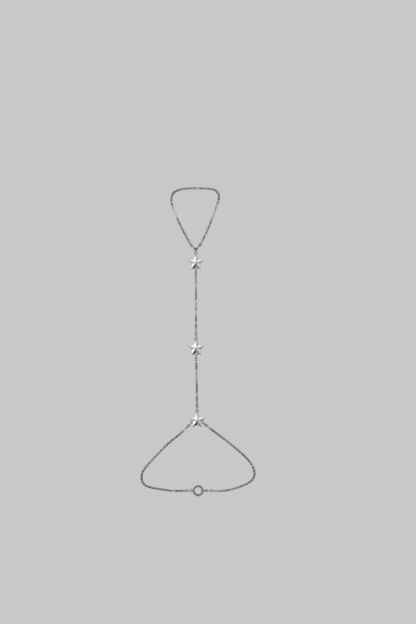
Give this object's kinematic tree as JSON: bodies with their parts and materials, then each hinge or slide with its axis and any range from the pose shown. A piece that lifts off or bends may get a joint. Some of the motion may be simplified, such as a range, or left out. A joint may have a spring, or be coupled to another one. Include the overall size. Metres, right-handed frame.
{
  "type": "hand chain bracelet",
  "caption": "Fine cable-chain hand bracelet, posed as worn: wrist loop with a spring-ring clasp, faceted star links down the back of the hand, and a middle-finger loop.",
  "frame": {"origin": "middle of the wrist that the wrist loop goes round", "axes": "+Z along the wrist to the fingertips, -Y out of the back of the hand, +X to the thumb side"},
  "size_m": [0.0526, 0.0417, 0.1429],
  "materials": {
    "star_silver": "bright polished silver with faceted faces",
    "chain_silver": "polished silver wire, a little darker between the links",
    "ring_silver": "polished silver wire and tube"
  },
  "bodies": {
    "root": {"star_upper": "star_silver", "star_middle": "star_silver", "star_lower": "star_silver", "finger_jump_ring": "ring_silver", "finger_chain_left": "chain_silver", "finger_chain_right": "chain_silver", "hand_chain_upper": "chain_silver", "hand_chain_lower": "chain_silver", "wrist_chain_left": "chain_silver", "wrist_chain_right": "chain_silver", "clasp": "ring_silver", "clasp_ring": "ring_silver"}
  },
  "joints": []
}
